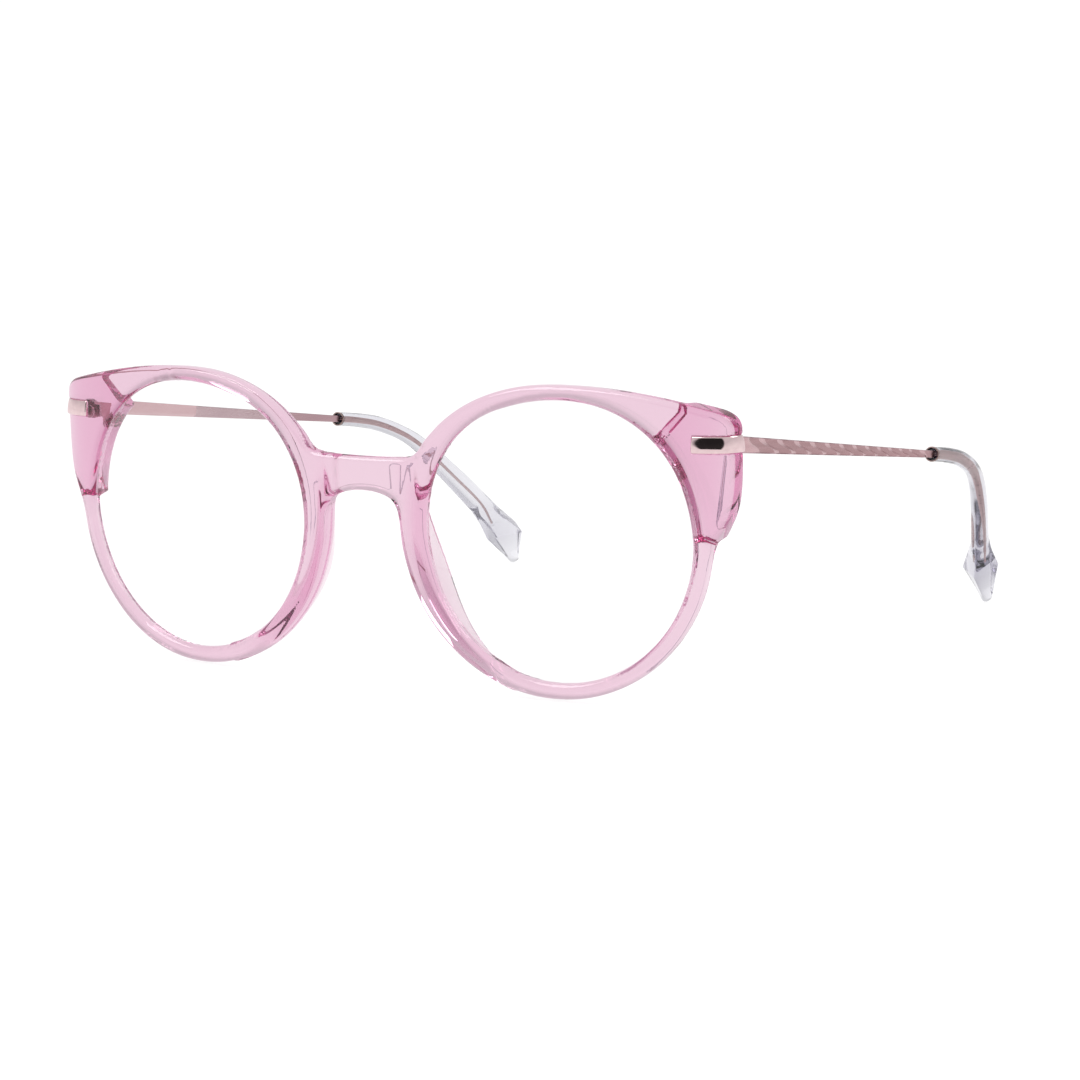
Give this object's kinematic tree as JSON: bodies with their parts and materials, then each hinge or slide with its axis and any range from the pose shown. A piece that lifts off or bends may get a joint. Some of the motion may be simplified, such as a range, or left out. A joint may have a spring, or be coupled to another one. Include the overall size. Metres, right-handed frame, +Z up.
{
  "type": "blue light glasses",
  "caption": "Round cat-eye glasses: translucent pink plastic front, clear lenses, slim rose-gold metal temples that fold on hinges, clear bent tips with faceted ends.",
  "frame": {"origin": "on the table under the middle of the open glasses: middle of the bounding box in X and Y, lowest point in Z", "axes": "+X to the right of someone looking at the front, the front faces -Y, the temples run to +Y, +Z up"},
  "size_m": [0.1342, 0.139, 0.0517],
  "materials": {
    "pink_acetate": "translucent pink acetate, polished",
    "lens": "clear coated lens",
    "pad_clear": "clear pale pink plastic, polished",
    "rose_gold": "polished rose-gold plating",
    "hinge_metal": "rose-gold plated hinge metal",
    "screw_metal": "bright steel screw",
    "temple_metal": "satin rose-gold plating",
    "collar": "dark bronze",
    "tip_clear": "clear plastic, polished",
    "core_metal": "rose-gold core wire"
  },
  "bodies": {
    "front": {"front_frame": "pink_acetate", "lens_right": "lens", "lens_left": "lens", "nose_pad_right": "pad_clear", "nose_pad_left": "pad_clear", "end_plaque_right": "rose_gold", "end_plaque_left": "rose_gold", "hinge_leaf_right": "hinge_metal", "hinge_leaf_left": "hinge_metal", "hinge_rivets_right": "hinge_metal", "hinge_rivets_left": "hinge_metal", "hinge_screw_right": "screw_metal", "hinge_screw_left": "screw_metal"},
    "temple_right": {"temple_bar_right": "temple_metal", "temple_hinge_plate_right": "temple_metal", "tip_collar_right": "collar", "temple_tip_right": "tip_clear", "tip_core_wire_right": "core_metal"},
    "temple_left": {"temple_bar_left": "temple_metal", "temple_hinge_plate_left": "temple_metal", "tip_collar_left": "collar", "temple_tip_left": "tip_clear", "tip_core_wire_left": "core_metal"}
  },
  "joints": [
    {"name": "fold_right", "type": "hinge", "parent": "front", "child": "temple_right", "pos_m": [0.0627, -0.05832, 0.04274], "axis": [0, -0.0447, 0.999], "range_deg": [0, 79]},
    {"name": "fold_left", "type": "hinge", "parent": "front", "child": "temple_left", "pos_m": [-0.0627, -0.05832, 0.04274], "axis": [0, 0.0447, -0.999], "range_deg": [0, 85]}
  ]
}
